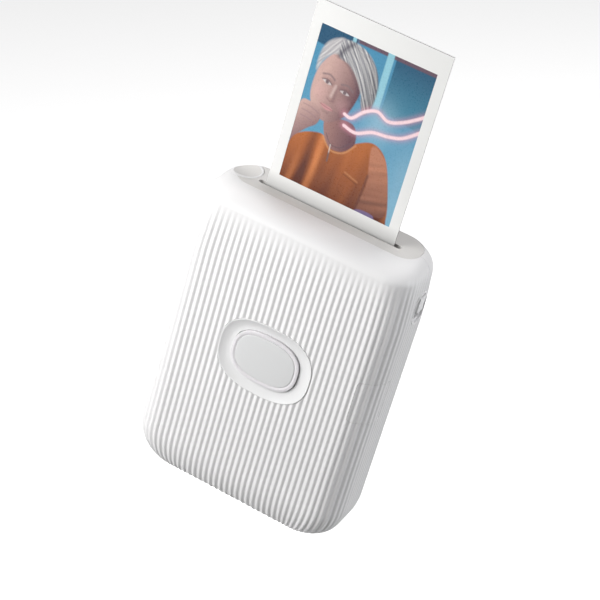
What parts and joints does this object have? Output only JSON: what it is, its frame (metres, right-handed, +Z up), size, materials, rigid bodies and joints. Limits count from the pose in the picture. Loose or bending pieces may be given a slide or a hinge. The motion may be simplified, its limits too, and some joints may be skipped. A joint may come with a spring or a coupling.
{
  "type": "instant film printer",
  "caption": "Palm-size instant film printer with a ribbed upright case, dished oval power button, top film slot holding a finished print, and a rear film door.",
  "frame": {"origin": "on the ground under the middle of the case, between the feet", "axes": "+Z up, the way the print leaves; the front with the oval button faces -Y; +X is to the right of a person looking at the front"},
  "size_m": [0.0904, 0.0346, 0.2005],
  "materials": {
    "case_plastic": "fine satin, ribbed outside",
    "deck_plastic": "fine satin",
    "oval_plastic": "smooth satin gloss",
    "light_plastic": "pearly and translucent",
    "key_plastic": "fine satin",
    "inner_plastic": "moulded black",
    "gear_plastic": "natural acetal",
    "foam": "closed foam",
    "steel": "bright",
    "spring_steel": "bright wire",
    "board": "solder mask over laminate",
    "chip": "moulded package",
    "cell": "shrink sleeve",
    "wire": "insulation",
    "pack_plastic": "moulded black",
    "film_white": "satin coated",
    "film_black": "satin coated",
    "picture": "glossy image layer",
    "roller_rubber": "ground",
    "foot_rubber": "matte",
    "lens": "polished rods"
  },
  "bodies": {
    "case": {"front_shell": "case_plastic", "rear_frame": "case_plastic", "door_hinge_pin": "steel", "door_seal": "foam", "top_deck": "deck_plastic", "slot_seal": "foam", "function_switch": "chip", "function_spring": "spring_steel", "front_bezel": "oval_plastic", "power_switch": "chip", "power_spring": "spring_steel", "usb_cover_pin": "steel", "usb_socket": "steel", "reset_switch": "chip", "latch_bezel": "case_plastic", "latch_spring": "spring_steel", "chassis": "inner_plastic", "main_board": "board", "board_chips": "chip", "radio_module": "steel", "board_screws": "steel", "battery": "cell", "battery_lead": "wire", "film_pack": "pack_plastic", "film_stack": "film_black", "pack_pressure_plate": "pack_plastic", "roller_bearings": "gear_plastic", "roller_springs": "spring_steel", "gear_pins": "steel", "drive_motor": "steel", "motor_screws": "steel", "print_head": "inner_plastic", "head_lens": "lens", "head_cable": "wire", "ejector_spring": "spring_steel", "case_screws": "steel", "foot_pads": "foot_rubber"},
    "film_door": {"film_door": "case_plastic", "pack_springs": "spring_steel"},
    "print": {"print_mask": "film_white", "print_picture": "picture", "print_back": "film_black"},
    "drive_roller": {"drive_roller": "roller_rubber", "roller_gear": "gear_plastic"},
    "pressure_roller": {"pressure_roller": "roller_rubber"},
    "idler": {"idler_gear": "gear_plastic"},
    "reduction": {"reduction_gear": "gear_plastic"},
    "pinion": {"motor_pinion": "gear_plastic", "motor_shaft": "steel"},
    "function_button": {"function_button": "deck_plastic"},
    "power_button": {"power_button": "key_plastic", "light_ring": "light_plastic"},
    "usb_cover": {"usb_cover": "case_plastic"},
    "reset_button": {"reset_button": "key_plastic"},
    "latch": {"door_latch": "case_plastic"},
    "claw": {"ejector_claw": "steel"}
  },
  "joints": [
    {"name": "drive_roller_spin", "type": "hinge", "parent": "case", "child": "drive_roller", "pos_m": [0.0008, 0.00005, 0.1165], "axis": [1, 0, 0], "range_deg": [-1605, 230]},
    {"name": "pressure_roller_spin", "type": "hinge", "parent": "case", "child": "pressure_roller", "pos_m": [0.0008, 0.00665, 0.1165], "axis": [1, 0, 0], "range_deg": [-231, 1606]},
    {"name": "idler_spin", "type": "hinge", "parent": "case", "child": "idler", "pos_m": [0.0345, -0.00495, 0.10784], "axis": [1, 0, 0], "range_deg": [-155, 1071]},
    {"name": "reduction_spin", "type": "hinge", "parent": "case", "child": "reduction", "pos_m": [0.0345, -0.00651, 0.09898], "axis": [1, 0, 0], "range_deg": [-2141, 308]},
    {"name": "pinion_spin", "type": "hinge", "parent": "case", "child": "pinion", "pos_m": [0.0345, -0.00651, 0.08898], "axis": [1, 0, 0], "range_deg": [-717, 4995]},
    {"name": "print_feed", "type": "slide", "parent": "case", "child": "print", "axis": [0, 0, 1], "range_m": [-0.084, 0.012]},
    {"name": "function_press", "type": "slide", "parent": "case", "child": "function_button", "axis": [0, 0, -1], "range_m": [0, 0.0006], "stiffness_N_per_m": 1200, "springref_m": -0.0008, "deforming": ["function_spring"]},
    {"name": "power_press", "type": "slide", "parent": "case", "child": "power_button", "axis": [0, 1, 0], "range_m": [0, 0.0005], "stiffness_N_per_m": 1500, "springref_m": -0.0008, "deforming": ["power_spring"]},
    {"name": "reset_press", "type": "slide", "parent": "case", "child": "reset_button", "axis": [-1, 0, 0], "range_m": [0, 0.0004], "stiffness_N_per_m": 400, "springref_m": -0.0005},
    {"name": "door_hinge", "type": "hinge", "parent": "case", "child": "film_door", "pos_m": [-0.0347, 0.0139, 0.0625], "axis": [0, 0, 1], "range_deg": [0, 90]},
    {"name": "latch_slide", "type": "slide", "parent": "case", "child": "latch", "axis": [0, 0, -1], "range_m": [0, 0.003], "stiffness_N_per_m": 250, "springref_m": -0.002, "deforming": ["latch_spring"]},
    {"name": "usb_cover_hinge", "type": "hinge", "parent": "case", "child": "usb_cover", "pos_m": [0.0376, -0.0163, 0.06925], "axis": [0, 0, 1], "range_deg": [-105, 0]},
    {"name": "claw_lift", "type": "slide", "parent": "case", "child": "claw", "axis": [0, 0, 1], "range_m": [0, 0.008], "stiffness_N_per_m": 60, "springref_m": -0.003, "deforming": ["ejector_spring"]}
  ],
  "couplings": [
    {"joint": "drive_roller_spin", "follows": "print_feed", "rad_per_m": 333.33},
    {"joint": "pressure_roller_spin", "follows": "print_feed", "rad_per_m": -333.33},
    {"joint": "idler_spin", "follows": "print_feed", "rad_per_m": -222.22},
    {"joint": "reduction_spin", "follows": "print_feed", "rad_per_m": 444.44},
    {"joint": "pinion_spin", "follows": "print_feed", "rad_per_m": -1037}
  ]
}
